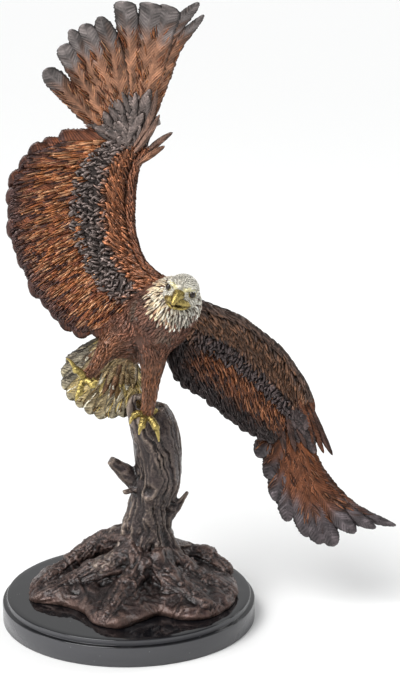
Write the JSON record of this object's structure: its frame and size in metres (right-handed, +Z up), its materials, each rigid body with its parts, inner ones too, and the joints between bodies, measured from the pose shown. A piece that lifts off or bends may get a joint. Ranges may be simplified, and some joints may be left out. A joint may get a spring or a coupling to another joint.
{
  "type": "bronze eagle statue",
  "caption": "Cast bronze bald eagle landing on a tree stump, one wing raised and one drooping, on a round black marble plinth.",
  "frame": {"origin": "centre of the marble plinth's underside, on the surface that the statue stands on", "axes": "+Z up; -Y towards the viewer, the way the eagle's face and the undersides of its wings look; +X to the viewer's right, the side of the drooping wing"},
  "size_m": [0.4189, 0.27, 0.6535],
  "materials": {
    "bronze": "hollow cast bronze with a hot brown and dark grey patina, gilt beak and feet, silvered head and tail",
    "marble": "polished black marble"
  },
  "bodies": {
    "root": {"bronze_eagle_on_stump": "bronze", "marble_plinth": "marble"}
  },
  "joints": []
}
